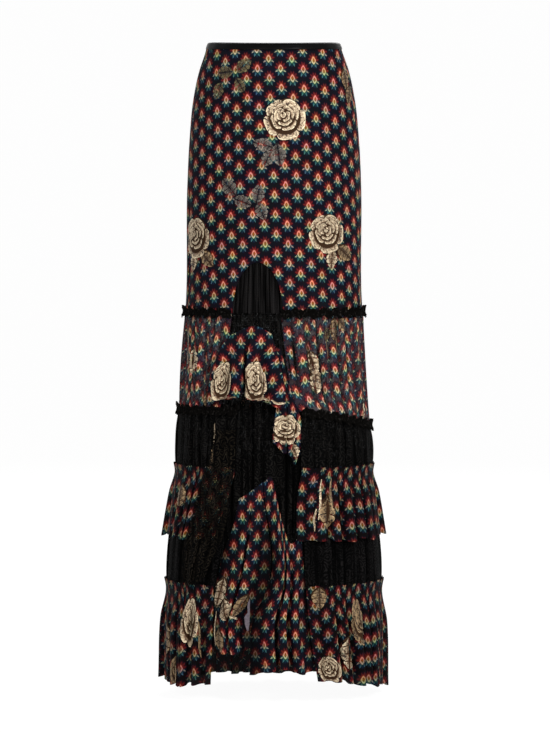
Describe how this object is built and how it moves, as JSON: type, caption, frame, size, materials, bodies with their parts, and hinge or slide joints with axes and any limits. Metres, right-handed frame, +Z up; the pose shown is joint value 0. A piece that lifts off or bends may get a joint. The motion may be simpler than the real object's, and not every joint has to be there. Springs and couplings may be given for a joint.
{
  "type": "maxi skirt",
  "caption": "Floor-length tiered skirt, filled out as worn: fitted printed hips, sheer and lace tiers, printed ruffles and an open front with flounces.",
  "frame": {"origin": "middle of the waist opening, level with the top edge of the waistband, where the wearer's waist holds the skirt", "axes": "+Z up out of the waist, -Y towards the front, +X towards the wearer's left side, which is the right of the picture"},
  "size_m": [0.4152, 0.3618, 1.15],
  "materials": {
    "waistband_satin": "satin",
    "printed_crepe": "matt print on a near-black ground",
    "printed_chiffon": "sheer matt print on a dark ground",
    "black_lace": "matt lace",
    "black_trim": "matt gathered trim",
    "metallic_motif": "metallic yarn woven motif"
  },
  "bodies": {
    "root": {"waistband": "waistband_satin", "hip_front": "printed_crepe", "hip_back": "printed_crepe", "upper_frill": "black_trim", "sheer_tier_right": "printed_chiffon", "sheer_tier_back": "printed_chiffon", "sheer_tier_left": "printed_chiffon", "middle_frill": "black_trim", "upper_lace_right": "black_lace", "upper_lace_back": "black_lace", "upper_lace_left": "black_lace", "middle_ruffle_right": "printed_crepe", "middle_ruffle_back": "printed_crepe", "middle_ruffle_left": "printed_crepe", "lower_lace_right": "black_lace", "lower_lace_back": "black_lace", "lower_lace_left": "black_lace", "hem_ruffle_right": "printed_crepe", "hem_ruffle_back": "printed_crepe", "hem_ruffle_left": "printed_crepe", "inset_lace": "black_lace", "under_lace": "black_lace", "upper_flounce": "printed_crepe", "cascade_tail": "printed_crepe", "lace_drape": "black_lace", "lower_flounce_left": "printed_crepe", "lower_flounce_right": "printed_crepe"}
  },
  "joints": []
}
